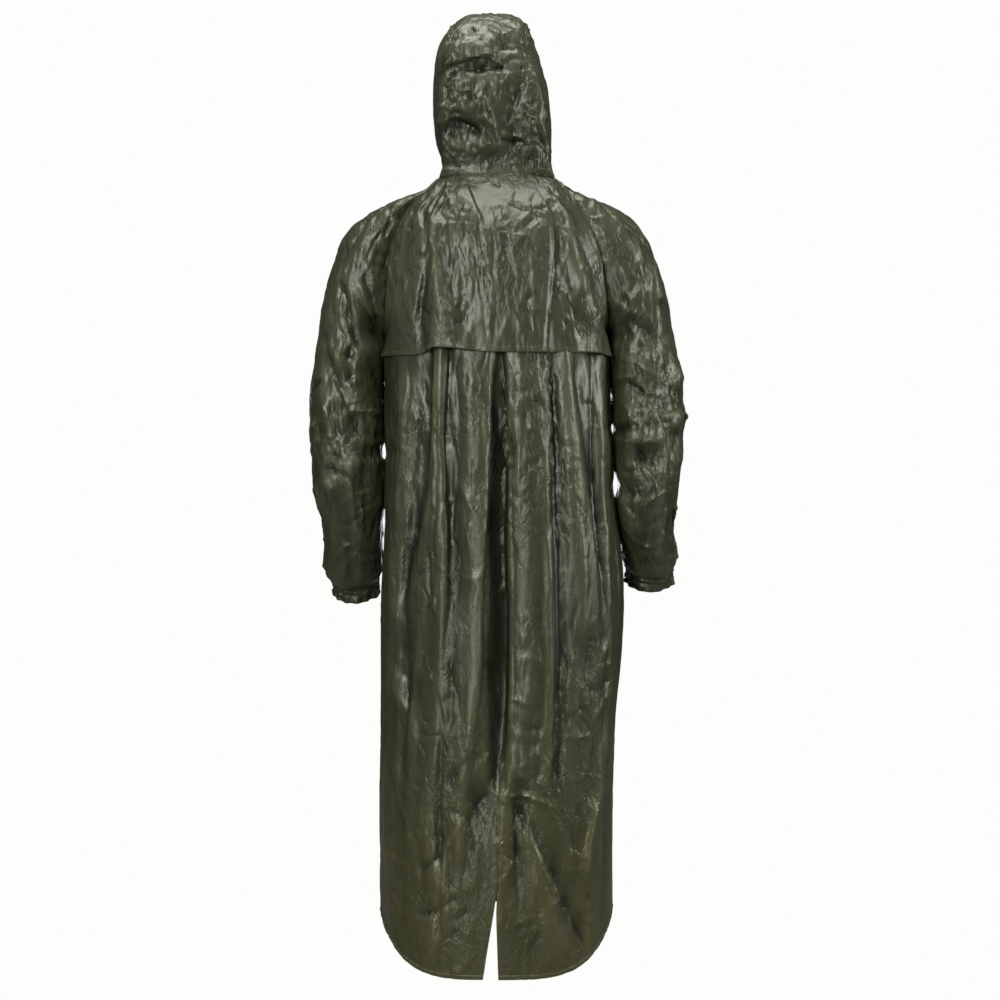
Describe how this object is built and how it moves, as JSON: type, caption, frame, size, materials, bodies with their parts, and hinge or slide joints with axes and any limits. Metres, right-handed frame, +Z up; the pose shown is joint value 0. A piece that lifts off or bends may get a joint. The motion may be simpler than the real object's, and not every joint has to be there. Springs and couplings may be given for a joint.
{
  "type": "hooded raincoat",
  "caption": "Long hooded raincoat in glossy coated nylon with raglan sleeves, loose back flap, gathered cuffs and a vent in the back hem, in its worn form.",
  "frame": {"origin": "middle of the neck seam at the height of the shoulders, where the wearer's shoulders hold the coat", "axes": "+Z up, -Y towards the coat's back, +X towards the wearer's right"},
  "size_m": [0.5977, 0.3194, 1.4878],
  "materials": {
    "coated_nylon": "crinkled dark olive nylon with a glossy water-repellent coating",
    "snap_metal": "dark olive lacquered snap caps, satin"
  },
  "bodies": {
    "root": {"back_left": "coated_nylon", "back_right": "coated_nylon", "back_yoke": "coated_nylon", "front_left": "coated_nylon", "front_right": "coated_nylon", "sleeve_back_left": "coated_nylon", "sleeve_back_right": "coated_nylon", "sleeve_front_left": "coated_nylon", "sleeve_front_right": "coated_nylon", "cuff_left": "coated_nylon", "cuff_right": "coated_nylon", "hood_centre": "coated_nylon", "hood_left": "coated_nylon", "hood_right": "coated_nylon", "front_fly": "coated_nylon", "snap_1": "snap_metal", "snap_2": "snap_metal", "snap_3": "snap_metal", "snap_4": "snap_metal", "snap_5": "snap_metal", "snap_6": "snap_metal"}
  },
  "joints": []
}
